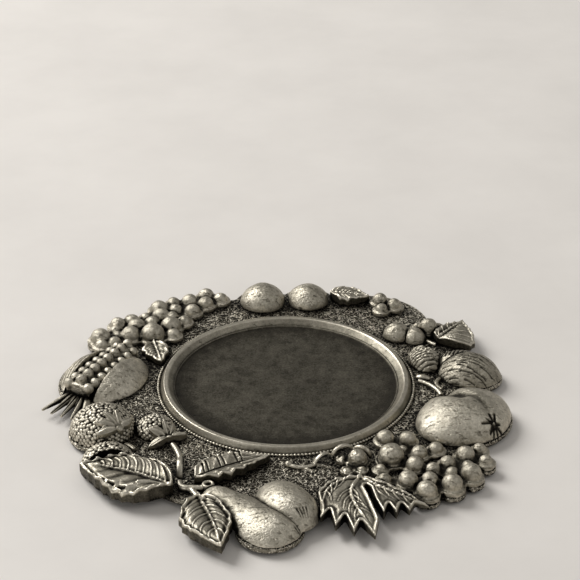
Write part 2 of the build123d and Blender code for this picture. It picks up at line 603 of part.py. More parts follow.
# Back of the wreath
PEACH_LEFT = (BACK + Vector(-9.5, -0.5), 9.4, 8.2)
PEACH_RIGHT = (BACK + Vector(9.0, 0.5), 8.6, 7.6)
with BuildPart() as peach_left:
    add(domed_fruit(*PEACH_LEFT))
with BuildPart() as peach_right:
    add(domed_fruit(*PEACH_RIGHT))
    add(domed_fruit(*PEACH_LEFT, grow=FIT), mode=Mode.SUBTRACT)
with BuildPart() as peach_leaf:
    add(leaf(BACK + Vector(18, 3), -10, 16.5, 5.6, 5.6, 5, 3, (2.0, 4.2, 3.0, 1.4)))
    add(domed_fruit(*PEACH_RIGHT, grow=FIT), mode=Mode.SUBTRACT)

BACK_BERRIES = [(44, -6.2, 3.0), (38.4, -2.4, 3.2), (38.6, -9.0, 2.6)]
with BuildPart() as back_berries:
    add(bunch(BACK, BACK_BERRIES))

# Base plate: disc and lobes under the fruit, with a round hole that takes the well's spigot
PLATE_MARGIN = 0.5
pear_belly = PEAR_FRONT[0] + ahead(PEAR_FRONT[1]) * 30
almond_middle = ALMOND[0] + ahead(ALMOND[1]) * 13
husk_middle = HUSK[0] + ahead(HUSK[1]) * 21
apple_middle = APPLE_FRUIT[0] + ahead(APPLE_FRUIT[1]) * 14
with BuildPart() as base_plate:
    with BuildSketch(Plane.XY.offset(PAD_T)):
        with Locations((PLATE_SHIFT.X, PLATE_SHIFT.Y)):
            Circle(PLATE_R)
        for middle, radius in (
            (pear_belly, 11.2), STRAWBERRY_LARGE[:2], STRAWBERRY_TUCKED[:2],
            (CHERRIES + Vector(-12.5, 11), 24), (PEACH_LEFT[0], 11), (PEACH_RIGHT[0], 11),
        ):
            with Locations((middle.X, middle.Y)):
                Circle(radius + PLATE_MARGIN)
        for middle, long_r, short_r, lie in (
            (almond_middle, 12.8, 10.4, ALMOND[1]), (husk_middle, 19.6, 16.2, HUSK[1]),
            (apple_middle, 15.4, 19.4, APPLE_FRUIT[1]),
        ):
            with Locations(Location((middle.X, middle.Y), lie)):
                Ellipse(long_r + PLATE_MARGIN, short_r + PLATE_MARGIN)
        for group, grapes in ((LEFT_BUNCH, GRAPES_LEFT), (VINE, GRAPES_RIGHT)):
            for across, along, radius in grapes:
                with Locations((group.X + across, group.Y + along)):
                    Circle(radius + BED_EDGE)
        Circle(SPIGOT_R + FIT, mode=Mode.SUBTRACT)
    extrude(amount=PLATE_T)

PIECES = {
    "base_plate": base_plate,
    "felt_pad": felt_pad, "well_cup": well_cup, "beaded_wire": beaded_wire,
    "pear_front": pear_front, "pear_back": pear_back, "pear_stem": pear_stem,
    "pear_leaf_large": pear_leaf_large, "pear_leaf_front": pear_leaf_front,
    "pear_leaf_inner": pear_leaf_inner,
    "strawberry_large": strawberry_large, "strawberry_small": strawberry_small,
    "strawberry_tucked": strawberry_tucked, "strawberry_calyx_large": strawberry_calyx_large,
    "strawberry_calyx_small": strawberry_calyx_small,
    "apple": apple, "grapes_right": grapes_right, "vine_leaf": vine_leaf,
    "vine_tendril": vine_tendril, "vine_bud": vine_bud,
    "apple_stem": apple_stem, "apple_hook": apple_hook, "apple_pod": apple_pod,
    "almond": almond, "almond_hull": almond_hull, "hazelnut": hazelnut,
    "hazelnut_frill": hazelnut_frill, "cherry_large": cherry_large, "cherry_small": cherry_small,
    "berry_sprig": berry_sprig, "cherry_leaf": cherry_leaf, "cherry_twig": cherry_twig,
    "corn_cob": corn_cob,
    "corn_husk_outer": corn_husk_outer, "corn_husk_inner": corn_husk_inner,
    "corn_stalk": corn_stalk, "grapes_left": grapes_left, "grape_leaf_left": grape_leaf_left,
    "strawberry_stem_large": strawberry_stem_large, "strawberry_stem_small": strawberry_stem_small,
    "back_berries": back_berries, "peach_left": peach_left, "peach_right": peach_right,
    "peach_leaf": peach_leaf,
}
for name, piece in PIECES.items():
    piece.part.label = name
    export_step(piece.part, f"parts/{name}.step")
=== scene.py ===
import bpy
import math
import numpy as np
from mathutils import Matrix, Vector, kdtree


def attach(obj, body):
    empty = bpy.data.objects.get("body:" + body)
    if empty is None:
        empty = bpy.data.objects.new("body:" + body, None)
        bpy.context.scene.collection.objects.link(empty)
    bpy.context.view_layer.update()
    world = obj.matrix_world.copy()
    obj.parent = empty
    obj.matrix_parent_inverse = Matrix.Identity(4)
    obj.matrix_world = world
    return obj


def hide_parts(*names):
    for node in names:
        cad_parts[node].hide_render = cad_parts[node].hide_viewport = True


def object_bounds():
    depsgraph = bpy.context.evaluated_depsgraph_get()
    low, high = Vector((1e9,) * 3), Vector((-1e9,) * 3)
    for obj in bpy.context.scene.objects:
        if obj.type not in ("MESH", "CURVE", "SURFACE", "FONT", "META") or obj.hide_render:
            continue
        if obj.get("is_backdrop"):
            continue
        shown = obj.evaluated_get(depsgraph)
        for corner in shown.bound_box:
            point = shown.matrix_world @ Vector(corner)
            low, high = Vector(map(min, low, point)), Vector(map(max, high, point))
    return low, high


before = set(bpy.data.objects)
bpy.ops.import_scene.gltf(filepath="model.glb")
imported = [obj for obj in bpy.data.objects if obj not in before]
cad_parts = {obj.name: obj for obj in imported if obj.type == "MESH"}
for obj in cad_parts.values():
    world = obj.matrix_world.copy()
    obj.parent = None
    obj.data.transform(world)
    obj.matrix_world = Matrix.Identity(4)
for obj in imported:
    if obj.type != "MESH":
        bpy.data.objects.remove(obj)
cadLow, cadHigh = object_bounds()
mm = 0.001
perMetre = 1000.0        # millimetres in a metre
groundTop = 3.0          # height of the plate's face, in mm
weldSkin = 0.002         # points of a CAD skin nearer than this are joined, in mm
weldSeam = 0.001         # the same at the seam of a turned piece
rubFactor = 0.5          # strength of one round of smoothing
farAway = 1e9
tiny = 1e-9
wreath = []              # every finished piece of the coaster
sootAndShade = {}                # dark rubbed into the cuts, plus painted shade and painted highlights, by piece


def pick(piece):
    bpy.ops.object.select_all(action="DESELECT")
    piece.select_set(True)
    bpy.context.view_layer.objects.active = piece


def applyAll(piece):
    pick(piece)
    for modifier in list(piece.modifiers):
        bpy.ops.object.modifier_apply(modifier=modifier.name)


def settle(piece, node, slot):
    # hands a finished piece to the frame
    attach(piece, "root")
    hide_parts(node)
    piece["finish"] = slot
    wreath.append(piece)


def castCopy(node, voxel, soften):
    # an even skin over the CAD solid, ready for carving
    piece = bpy.data.objects.new(node + "_cast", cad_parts[node].data.copy())
    bpy.context.scene.collection.objects.link(piece)
    pick(piece)
    bpy.ops.object.mode_set(mode="EDIT")
    bpy.ops.mesh.select_all(action="SELECT")
    bpy.ops.mesh.remove_doubles(threshold=weldSkin * mm)
    bpy.ops.object.mode_set(mode="OBJECT")
    skin = piece.modifiers.new("skin", "REMESH")
    skin.mode = "VOXEL"
    skin.voxel_size = voxel * mm
    rub = piece.modifiers.new("rub", "SMOOTH")
    rub.factor = rubFactor
    rub.iterations = soften
    applyAll(piece)
    bpy.ops.object.shade_smooth()
    sootAndShade[piece.name] = np.zeros(len(piece.data.vertices))
    return piece


def spinRound(steps):
    # turns the open section about the upright axis and closes the seam
    bpy.ops.mesh.select_all(action="SELECT")
    bpy.ops.mesh.spin(steps=steps, angle=math.tau, center=(0, 0, 0), axis=(0, 0, 1))
    bpy.ops.mesh.select_all(action="SELECT")
    bpy.ops.mesh.remove_doubles(threshold=weldSeam * mm)
    bpy.ops.mesh.normals_make_consistent(inside=False)
    bpy.ops.object.mode_set(mode="OBJECT")


def readPoints(piece):
    # places in mm, and normals
    co = np.empty(len(piece.data.vertices) * 3, np.float32)
    piece.data.vertices.foreach_get("co", co)
    no = np.empty_like(co)
    piece.data.vertices.foreach_get("normal", no)
    return co.reshape(-1, 3) * perMetre, no.reshape(-1, 3)


def writePoints(piece, co):
    piece.data.vertices.foreach_set("co", (co * mm).astype(np.float32).ravel())
    piece.data.update()


def markPoints(piece, name, chosen):
    group = piece.vertex_groups.new(name=name)
    group.add([int(i) for i in np.where(chosen)[0]], 1.0, "REPLACE")


def smoothTop(piece, rounds, upFrom=0.55):
    # wipes the fine relief off the upper face and leaves the outline sharp
    no = readPoints(piece)[1]
    markPoints(piece, "top", no[:, 2] > upFrom)
    wipe = piece.modifiers.new("wipe", "SMOOTH")
    wipe.use_x = False
    wipe.use_y = False
    wipe.factor = rubFactor
    wipe.iterations = rounds
    wipe.vertex_group = "top"
    applyAll(piece)


def dent(piece, size, depth, level=0.8):
    grain = bpy.data.textures.new(piece.name + "_grain", "CLOUDS")
    grain.noise_scale = size * mm
    push = piece.modifiers.new("push", "DISPLACE")
    push.texture = grain
    push.texture_coords = "LOCAL"
    push.strength = depth * mm
    push.mid_level = level
    applyAll(piece)


def bend(points, steps=7):
    # smooth line through a few points in plan
    p = np.array([points[0], *points, points[-1]], float)
    line = []
    for a, b, c, d in zip(p, p[1:], p[2:], p[3:]):
        for t in np.linspace(0, 1, steps, endpoint=False):
            line.append(0.5 * (2 * b + (c - a) * t + (2 * a - 5 * b + 4 * c - d) * t * t
                               + (3 * b - a - 3 * c + d) * t ** 3))
    line.append(p[-1])
    return np.array(line)


def alongLine(co, line):
    # plan distance from each point to a line, and how far along the line it lies
    best = np.full(len(co), farAway)
    share = np.zeros(len(co))
    runs = np.linalg.norm(np.diff(line, axis=0), axis=1)
    done = 0.0
    for a, b, run in zip(line[:-1], line[1:], runs):
        t = np.clip(((co[:, :2] - a) @ (b - a)) / max(run * run, tiny), 0, 1)
        d = np.linalg.norm(co[:, :2] - a - t[:, None] * (b - a), axis=1)
        near = d < best
        best[near] = d[near]
        share[near] = (done + t[near] * run) / max(runs.sum(), tiny)
        done += run
    return best, share


stylus = {"reach": 6, "grooveWide": 2.5, "cutSoot": 2.6, "ridgeSoot": 1.8, "fine": 0.5}


def carve(piece, strokes, lean=0.0):
    # raises rounded lines, or cuts them where the height is below zero; a groove follows both sides
    co, no = readPoints(piece)
    up = np.sqrt(np.clip(no[:, 2] + lean, 0, 1))
    dark = sootAndShade[piece.name]
    for line, width, height, taper, groove in strokes:
        line = bend(line)
        reach = stylus["reach"] * width
        inside = (co[:, :2] > line.min(0) - reach) & (co[:, :2] < line.max(0) + reach)
        near = np.where(np.all(inside, axis=1))[0]
        if not len(near):
            continue
        d, share = alongLine(co[near], line)
        thin = 1 - (1 - taper) * share
        lift = height * thin * np.exp(-(d / (width * thin)) ** 2)
        side = groove * thin * np.exp(-(d / (stylus["grooveWide"] * width * thin)) ** 2)
        co[near, 2] += (lift - side) * up[near]
        rubbed = stylus["cutSoot" if height < 0 else "ridgeSoot"] * lift - side
        dark[near] -= rubbed * up[near] * min(1, stylus["fine"] / width)
    writePoints(piece, co)


rim = {"wallMost": 0.35, "clear": 0.3, "crest": 0.45, "crestWide": 0.42, "hollow": 1.5, "hollowWide": 0.6,
       "hollowDeep": 0.55, "ruffle": (1.3, 0.7), "paintedWallShade": 1.1, "wallEnd": 0.6, "riseSoot": 1.3}


def lipEdge(piece, lip, wave):
    # bright turned-up rim along a leaf's edge, with a hollow behind it, and painted shade darkening the
    # leaf's side walls
    co, no = readPoints(piece)
    up = np.sqrt(np.clip(no[:, 2], 0, 1))
    level = np.abs(no[:, 2])
    walls = np.where((level < rim["wallMost"]) & (co[:, 2] > groundTop + rim["clear"]))[0]
    tree = kdtree.KDTree(len(walls))
    for i in walls:
        tree.insert((co[i, 0], co[i, 1], 0), int(i))
    tree.balance()
    edge = np.array([tree.find((x, y, 0))[2] for x, y in co[:, :2]])
    ruffle = 1 + wave * np.sin(co[:, 0] * rim["ruffle"][0] + co[:, 1] * rim["ruffle"][1])
    crest = np.exp(-((edge - rim["crest"]) / rim["crestWide"]) ** 2)
    hollow = rim["hollowDeep"] * np.exp(-((edge - rim["hollow"]) / rim["hollowWide"]) ** 2)
    rise = lip * ruffle * (crest - hollow)
    co[:, 2] += up * rise
    # painted shade on the side walls, darkest where they stand upright
    paintedWallShade = rim["paintedWallShade"] * np.clip(1 - level / rim["wallEnd"], 0, 1)
    sootAndShade[piece.name] += paintedWallShade - rim["riseSoot"] * up * rise
    writePoints(piece, co)


def planPoint(part, along, across):
    # a place in a piece's own frame: along its heading, and to the left of it
    turn = math.radians(part["heading"])
    return (part["root"][0] + along * math.cos(turn) - across * math.sin(turn),
            part["root"][1] + along * math.sin(turn) + across * math.cos(turn))


def polarPoint(place, reach, bearing):
    return (place[0] + reach * math.cos(bearing), place[1] + reach * math.sin(bearing))


leafForm = {"swell": 0.8, "ribStops": (0, 0.25, 0.5, 0.75, 0.97), "veinStops": (0, 0.35, 0.65, 0.95),
            "firstVein": 0.08, "veinSpan": 0.74, "soften": 2}


def halfWidth(leaf, side, along):
    share = min(max(along / leaf["length"], 0), 1)
    return leaf["left" if side > 0 else "right"] * math.sin(math.pi * share ** leafForm["swell"])


def ribLine(leaf):
    long = leaf["length"]
    bow = leaf.get("bow", 0)
    return [planPoint(leaf, s * long, bow * math.sin(math.pi * s)) for s in leafForm["ribStops"]]


def sideLines(leaf, side, count, lean=0.3, arch=1.5):
    # lines that leave the rib at even steps and curve towards the tip
    long = leaf["length"]
    lines = []
    for number in range(count):
        start = long * (leafForm["firstVein"] + leafForm["veinSpan"] * number / count)
        line = []
        for share in leafForm["veinStops"]:
            x = start + lean * long * share ** arch
            rise = (1 - share) * leaf.get("bow", 0) * math.sin(math.pi * min(x / long, 1))
            line.append(planPoint(leaf, x, rise + side * share * halfWidth(leaf, side, x)))
        lines.append(line)
    return lines


# each stroke: width, height, taper, groove
ribStroke = (0.55, 1.0, 0.5, 0.45)
cutRibStroke = (0.3, -1.2, 0.6, -0.45)
veinStroke = (0.34, 0.7, 0.6, 0.42)
plainVeinStroke = (0.32, 0.5, 0.6, 0.34)
branchStroke = (0.34, 0.6, 0.6, 0.4)
tipStroke = (0.42, 0.6, 0.6, 0.45)
rollStroke = (0.7, 0.9, 0.8, 0.35)
foldStroke = (1.1, -0.35, 0.8, 0.0)
slitStroke = (0.34, -1.1, 0.6, -0.3)
eyeletStroke = (0.5, -1.3, 0.8, -0.6)


def drawn(lines, stroke):
    return [(line, *stroke) for line in lines]


def castLeaf(leaf, strokes):
    piece = castCopy(leaf["node"], leaf["voxel"], leafForm["soften"])
    smoothTop(piece, leaf["wipe"])
    lipEdge(piece, leaf["lip"], leaf["wave"])
    carve(piece, strokes)
    settle(piece, leaf["node"], "pewter_foliage")


# Base plate: thinned underneath, stippled on top, with the tendril's shoots
plate = {"voxel": 0.44, "soften": 1, "facing": 0.8, "keep": 0.6, "stippleSize": 0.8, "stippleDepth": 0.35,
         "stippleLayers": 1, "stippleMiddle": 0.5}
tendril = {"root": (36.8, -52.6), "path": [(-31.5, -3.0), (-27, -1.4), (-20.6, 3.4), (-13, 6.4)],
           "start": 0.8, "shoot": 4.6, "spread": 35, "curl": 0.05, "stroke": (0.6, 1.4, 0.6, 0.2)}
basePlate = castCopy("base_plate", plate["voxel"], plate["soften"])
no = readPoints(basePlate)[1]
markPoints(basePlate, "under", no[:, 2] < -plate["facing"])
thin = basePlate.modifiers.new("thin", "DECIMATE")
thin.ratio = plate["keep"]
thin.vertex_group = "under"
applyAll(basePlate)
sootAndShade[basePlate.name] = np.zeros(len(basePlate.data.vertices))
no = readPoints(basePlate)[1]
markPoints(basePlate, "ground", no[:, 2] > plate["facing"])
stipple = bpy.data.textures.new("stipple", "CLOUDS")
stipple.noise_scale = plate["stippleSize"] * mm
stipple.noise_depth = plate["stippleLayers"]
punch = basePlate.modifiers.new("punch", "DISPLACE")
punch.texture = stipple
punch.texture_coords = "LOCAL"
punch.strength = plate["stippleDepth"] * mm
punch.mid_level = plate["stippleMiddle"]
punch.vertex_group = "ground"
applyAll(basePlate)
shoots = []
for (x, y), (nextX, nextY) in zip(tendril["path"], tendril["path"][1:]):
    place = (tendril["root"][0] + x, tendril["root"][1] + y)
    run = math.atan2(nextY - y, nextX - x)
    for side in (-1, 1):
        bearing = run + side * math.radians(tendril["spread"])
        shoots.append([polarPoint(place, s, bearing + side * tendril["curl"] * s)
                       for s in (tendril["start"], tendril["shoot"] / 2, tendril["shoot"])])
carve(basePlate, drawn(shoots, tendril["stroke"]))
settle(basePlate, "base_plate", "pewter_ground")
print("base plate stippled", len(basePlate.data.polygons))

# Felt pad, a soft disc under the plate
pad = {"radius": 66.2, "middle": (-1.0, -8.0), "thick": 1.0, "sides": 180, "inset": 2.0, "ease": 0.3,
       "easeSteps": 3, "smooth": 40}
bpy.ops.object.select_all(action="DESELECT")
bpy.ops.mesh.primitive_cylinder_add(
    vertices=pad["sides"], radius=pad["radius"] * mm, depth=pad["thick"] * mm,
    location=(pad["middle"][0] * mm, pad["middle"][1] * mm, pad["thick"] / 2 * mm))
feltPad = bpy.context.object
feltPad.name = "felt_pad_cut"
bpy.ops.object.transform_apply(location=True, rotation=True, scale=True)
bpy.ops.object.mode_set(mode="EDIT")
bpy.ops.mesh.select_all(action="SELECT")
bpy.ops.mesh.inset(thickness=pad["inset"] * mm)
bpy.ops.object.mode_set(mode="OBJECT")
soft = feltPad.modifiers.new("soft", "BEVEL")
soft.width = pad["ease"] * mm
soft.segments = pad["easeSteps"]
applyAll(feltPad)
bpy.ops.object.shade_smooth_by_angle(angle=math.radians(pad["smooth"]))
settle(feltPad, "felt_pad", "felt")
print("felt pad cut")

# Well, turned from its section
well = {"floorRadius": 41.7, "step": 0.8, "stepRise": 0.6, "wallRun": 2.1, "lip": 1.5, "skirtRun": 1.5,
        "spigot": 2.2, "under": 1.0, "floor": 3.0, "depth": 2.6, "round": 0.3, "ease": 0.2, "easeSteps": 3,
        "cuts": 4, "steps": 220, "smooth": 50, "paintedShadeIn": 0.55, "paintedShadeOut": 0.4, "shine": 0.5,
        "shineWide": 0.3}
stepOut = well["floorRadius"] + well["step"]
lipIn = stepOut + well["wallRun"]
lipOut = lipIn + well["lip"]
foot = lipOut + well["skirtRun"]
corners = [
    (0, well["floor"]),
    (well["floorRadius"], well["floor"]),
    (well["floorRadius"] + well["round"], well["floor"] + well["stepRise"]),
    (stepOut, well["floor"] + well["stepRise"]),
    (lipIn, well["floor"] + well["depth"]),
    (lipOut, well["floor"] + well["depth"]),
    (foot, well["floor"]),
    (foot - well["spigot"], well["floor"]),
    (foot - well["spigot"], well["under"]),
    (0, well["under"]),
]
section = bpy.data.meshes.new("well_section")
section.from_pydata([(r * mm, 0, z * mm) for r, z in corners],
                    [(i, i + 1) for i in range(len(corners) - 1)], [])
wellCup = bpy.data.objects.new("well_cup_turned", section)
bpy.context.scene.collection.objects.link(wellCup)
pick(wellCup)
bpy.ops.object.mode_set(mode="EDIT")
bpy.ops.mesh.select_all(action="SELECT")
bpy.ops.mesh.bevel(offset=well["ease"] * mm, segments=well["easeSteps"], affect="VERTICES",
                   clamp_overlap=True)
bpy.ops.mesh.select_all(action="SELECT")
bpy.ops.mesh.subdivide(number_cuts=well["cuts"])
spinRound(well["steps"])
bpy.ops.object.shade_smooth_by_angle(angle=math.radians(well["smooth"]))
co = readPoints(wellCup)[0]
out = np.hypot(co[:, 0], co[:, 1])
# painted shade on the well's inside and on its skirt, and painted highlights along both edges of the lip
inner = np.where(out < lipIn - well["ease"], well["paintedShadeIn"], 0.0)
outer = np.where(out > lipOut + well["ease"], well["paintedShadeOut"], 0.0)
paintedHighlightIn = well["shine"] * np.exp(-((out - lipIn) / well["shineWide"]) ** 2)
paintedHighlightOut = well["shine"] * np.exp(-((out - lipOut) / well["shineWide"]) ** 2)
sootAndShade[wellCup.name] = (inner + outer) - (paintedHighlightIn + paintedHighlightOut)
settle(wellCup, "well_cup", "pewter_well")
print("well turned")

# Milled wire round the well's foot
milled = {"radius": 48.2, "thick": 0.53, "beads": 230, "height": 3.36, "waist": 0.45, "sides": 8,
          "stepsPerBead": 7, "sootAndShade": 0.9, "shine": 1.5}
bpy.ops.object.select_all(action="DESELECT")
bpy.ops.mesh.primitive_circle_add(
    vertices=milled["sides"], radius=milled["thick"] * mm,
    location=(milled["radius"] * mm, 0, milled["height"] * mm), rotation=(math.pi / 2, 0, 0))
milledWire = bpy.context.object
milledWire.name = "beaded_wire_milled"
bpy.ops.object.transform_apply(location=True, rotation=True, scale=True)
bpy.ops.object.mode_set(mode="EDIT")
spinRound(milled["beads"] * milled["stepsPerBead"])
co = readPoints(milledWire)[0]
turn = np.arctan2(co[:, 1], co[:, 0])
core = np.stack([milled["radius"] * np.cos(turn), milled["radius"] * np.sin(turn),
                 np.full(len(co), milled["height"])], axis=1)
bead = np.abs(np.cos(turn * milled["beads"] / 2))
writePoints(milledWire, core + (co - core) * (milled["waist"] + (1 - milled["waist"]) * bead)[:, None])
sootAndShade[milledWire.name] = milled["sootAndShade"] - milled["shine"] * bead
bpy.ops.object.shade_smooth()
settle(milledWire, "beaded_wire", "pewter_well")
print("wire milled")

# Pears, side by side, each with a few cuts at its blossom end
pears = {"voxel": 0.36, "soften": 24, "dentSize": 8.0, "dentDepth": 0.5, "cut": (0.3, -0.7, 0.5, -0.15),
         "cutStops": (-1.3, 0, 1.5), "fan": 0.12, "lean": 0.3}
pearFront = {"node": "pear_front", "root": (-28.0, -69.8), "heading": -41, "eye": (40.2, 3.6), "cuts": 3}
pearBack = {"node": "pear_back", "root": (-6.4, -65.7), "heading": -65, "eye": (25.6, 1.3), "cuts": 4}
for pear in (pearFront, pearBack):
    piece = castCopy(pear["node"], pears["voxel"], pears["soften"])
    dent(piece, pears["dentSize"], pears["dentDepth"])
    along, across = pear["eye"]
    eye = []
    for number in range(pear["cuts"]):
        shift = number - (pear["cuts"] - 1) / 2
        eye.append([planPoint(pear, along + s, across + shift * (1 - pears["fan"] * s))
                    for s in pears["cutStops"]])
    carve(piece, drawn(eye, pears["cut"]), pears["lean"])
    settle(piece, pear["node"], "pewter_fruit")
print("pears cast")

# Large leaf: arched veins on the back half, folds, eyelets and a rolled corner on the front half
largeLeaf = {
    "node": "pear_leaf_large", "root": (-38.5, -70.8), "heading": 158, "length": 36.0, "left": 11.0,
    "right": 12.5, "bow": -1.2, "voxel": 0.26, "wipe": 70, "lip": 0.55, "wave": 0.8, "folds": 4, "veins": 9,
    "veinLean": 0.26, "veinArch": 1.8, "eyelets": 4, "eyeletFrom": 0.42, "eyeletStep": 0.12,
    "eyeletOut": 0.78, "rollLong": 0.3, "rollOut": 4.6, "rollArch": 1.4,
}
eyelets = []
for number in range(largeLeaf["eyelets"]):
    x = largeLeaf["length"] * (largeLeaf["eyeletFrom"] + largeLeaf["eyeletStep"] * number)
    eyelets.append([planPoint(largeLeaf, x + s, largeLeaf["eyeletOut"] * halfWidth(largeLeaf, 1, x + s))
                    for s in (-1, 0, 1)])
roll = [planPoint(largeLeaf, largeLeaf["rollLong"] * largeLeaf["length"] * s,
                  largeLeaf["rollOut"] * s ** largeLeaf["rollArch"]) for s in (0, 0.35, 0.7, 1)]
largeVeins = sideLines(largeLeaf, -1, largeLeaf["veins"], largeLeaf["veinLean"], largeLeaf["veinArch"])
castLeaf(largeLeaf, drawn(sideLines(largeLeaf, 1, largeLeaf["folds"]), foldStroke)
         + drawn(largeVeins, veinStroke) + drawn(eyelets, eyeletStroke)
         + [(roll, *rollStroke), (ribLine(largeLeaf), *ribStroke)])

# Front leaf
frontLeaf = {"node": "pear_leaf_front", "root": (-30.0, -75.5), "heading": -72, "length": 29.6, "left": 8.4,
             "right": 9.6, "bow": 0.8, "voxel": 0.26, "wipe": 70, "lip": 0.75, "wave": 0.35, "veins": 5}
frontVeins = sideLines(frontLeaf, 1, frontLeaf["veins"]) + sideLines(frontLeaf, -1, frontLeaf["veins"])
castLeaf(frontLeaf, drawn(frontVeins, veinStroke) + [(ribLine(frontLeaf), *ribStroke)])

# Inner leaf: a cut rib, paired slits on the well's side and a three-tipped end
innerLeaf = {
    "node": "pear_leaf_inner", "root": (-31.6, -65.3), "heading": 28, "length": 29.6, "left": 9.4,
    "right": 4.4, "bow": 0.8, "voxel": 0.24, "wipe": 50, "lip": 0.35, "wave": 0.3,
    "slits": (0.14, 0.36, 0.58), "pair": 0.06, "slitLean": 1.6, "slitStops": (0.9, 0.5, 0.12),
    "tips": (-2, 0, 2), "tipStops": (0.62, 0.8, 0.97), "tipOut": 2.6, "tipMeet": 1.15,
}
slits = []
for share in innerLeaf["slits"]:
    for gap in (0, innerLeaf["pair"]):
        x = innerLeaf["length"] * (share + gap)
        slits.append([planPoint(innerLeaf, x + innerLeaf["slitLean"] * s, s * halfWidth(innerLeaf, 1, x))
                      for s in innerLeaf["slitStops"]])
tips = []
for spread in innerLeaf["tips"]:
    tips.append([planPoint(innerLeaf, innerLeaf["length"] * s,
                           spread * innerLeaf["tipOut"] * (innerLeaf["tipMeet"] - s))
                 for s in innerLeaf["tipStops"]])
castLeaf(innerLeaf, drawn(tips, tipStroke) + drawn(slits, slitStroke)
         + [(ribLine(innerLeaf), *cutRibStroke)])

# Cherry leaf with its off-centre rib, and two plain leaves, left and back
cherryLeaf = {"node": "cherry_leaf", "root": (59.2, 28.2), "heading": 50, "length": 18.0, "left": 4.4,
              "right": 13.4, "voxel": 0.26, "wipe": 60, "lip": 0.3, "wave": 0.0, "veins": 4}
grapeLeaf = {"node": "grape_leaf_left", "root": (-52.0, 27.3), "heading": -75, "length": 16.2, "left": 5.2,
             "right": 6.0, "voxel": 0.26, "wipe": 60, "lip": 0.25, "wave": 0.0, "veins": 4}
peachLeaf = {"node": "peach_leaf", "root": (18.0, 64.8), "heading": -10, "length": 16.5, "left": 5.6,
             "right": 5.6, "voxel": 0.26, "wipe": 60, "lip": 0.4, "wave": 0.0, "veins": 4}
for leaf in (cherryLeaf, grapeLeaf, peachLeaf):
    veins = sideLines(leaf, 1, leaf["veins"]) + sideLines(leaf, -1, leaf["veins"])
    castLeaf(leaf, drawn(veins, plainVeinStroke) + [(ribLine(leaf), *ribStroke)])
print("leaves veined")

# Vine leaf: three main veins, each with branches to both sides
vineLeaf = {
    "node": "vine_leaf", "root": (25.3, -65.2), "voxel": 0.28, "wipe": 60, "lip": 0.5, "wave": 0.3,
    "veins": [[(0, 0), (-6, -2), (-11, -7), (-13, -15)], [(0, 0), (-3.2, -9), (-2, -17), (2.6, -27)],
              [(0, 0), (6, -6), (13, -10), (21.5, -13.2)]],
    "branch": 8.4, "branchAt": (0.3, 0.45, 0.6, 0.75), "branchFirst": 1.2, "branchShrink": 0.6,
    "spread": 0.85, "curl": 0.05,
}
mains = [[(vineLeaf["root"][0] + x, vineLeaf["root"][1] + y) for x, y in vein]
         for vein in vineLeaf["veins"]]
branches = []
for vein in mains:
    smooth = bend(vein)
    for share in vineLeaf["branchAt"]:
        at = int(share * (len(smooth) - 2))
        run = math.atan2(*(smooth[at + 1] - smooth[at])[::-1])
        reach = vineLeaf["branch"] * (vineLeaf["branchFirst"] - vineLeaf["branchShrink"] * share)
        for side in (-1, 1):
            line = []
            for s in (0, reach / 2, reach):
                bearing = run + side * (vineLeaf["spread"] - vineLeaf["curl"] * s)
                line.append(polarPoint(smooth[at], s, bearing))
            branches.append(line)
castLeaf(vineLeaf, drawn(branches, branchStroke) + drawn(mains, ribStroke))
print("vine leaf veined")

# Strawberries, beaded all over; each berry: x, y, radius, height
strawberries = {
    "voxel": 0.2, "soften": 3, "pitch": 1.55, "depth": 0.7, "packing": 0.87, "stray": 0.15,
    "strayTurns": (7.3, 11.9), "beadWide": 0.62, "beadLowest": -0.5, "sootAndShade": 3.8, "shine": 0.7,
    "berries": {
        "strawberry_large": (-66.2, -31.8, 12.0, 9.6),
        "strawberry_small": (-47.2, -32.2, 7.2, 6.0),
        "strawberry_tucked": (-62.3, -52.7, 9.6, 7.0),
    },
}
goldenTurn = math.pi * (3 - math.sqrt(5))
for node, (x, y, radius, height) in strawberries["berries"].items():
    berry = castCopy(node, strawberries["voxel"], strawberries["soften"])
    area = 2 * math.pi * radius * (radius + height) / 2
    count = int(area / (strawberries["packing"] * strawberries["pitch"] ** 2))
    stray = strawberries["stray"] * strawberries["pitch"]
    seeds = kdtree.KDTree(count)
    for i in range(count):
        rise = (i + 0.5) / count
        seedX, seedY = polarPoint((x, y), radius * math.sqrt(1 - rise * rise), i * goldenTurn)
        seeds.insert((seedX + stray * math.sin(strawberries["strayTurns"][0] * i),
                      seedY + stray * math.sin(strawberries["strayTurns"][1] * i),
                      groundTop + height * rise), i)
    seeds.balance()
    co, no = readPoints(berry)
    near = np.array([seeds.find(p)[2] for p in co]) / (strawberries["pitch"] * strawberries["beadWide"])
    sink = 1 - np.sqrt(np.clip(1 - near ** 2, 0, 1))
    beaded = no[:, 2:3] > strawberries["beadLowest"]
    writePoints(berry, co - no * (strawberries["depth"] * sink)[:, None] * beaded)
    sootAndShade[berry.name] += strawberries["sootAndShade"] * sink - strawberries["shine"]
    settle(berry, node, "pewter_fruit")
print("strawberries beaded")

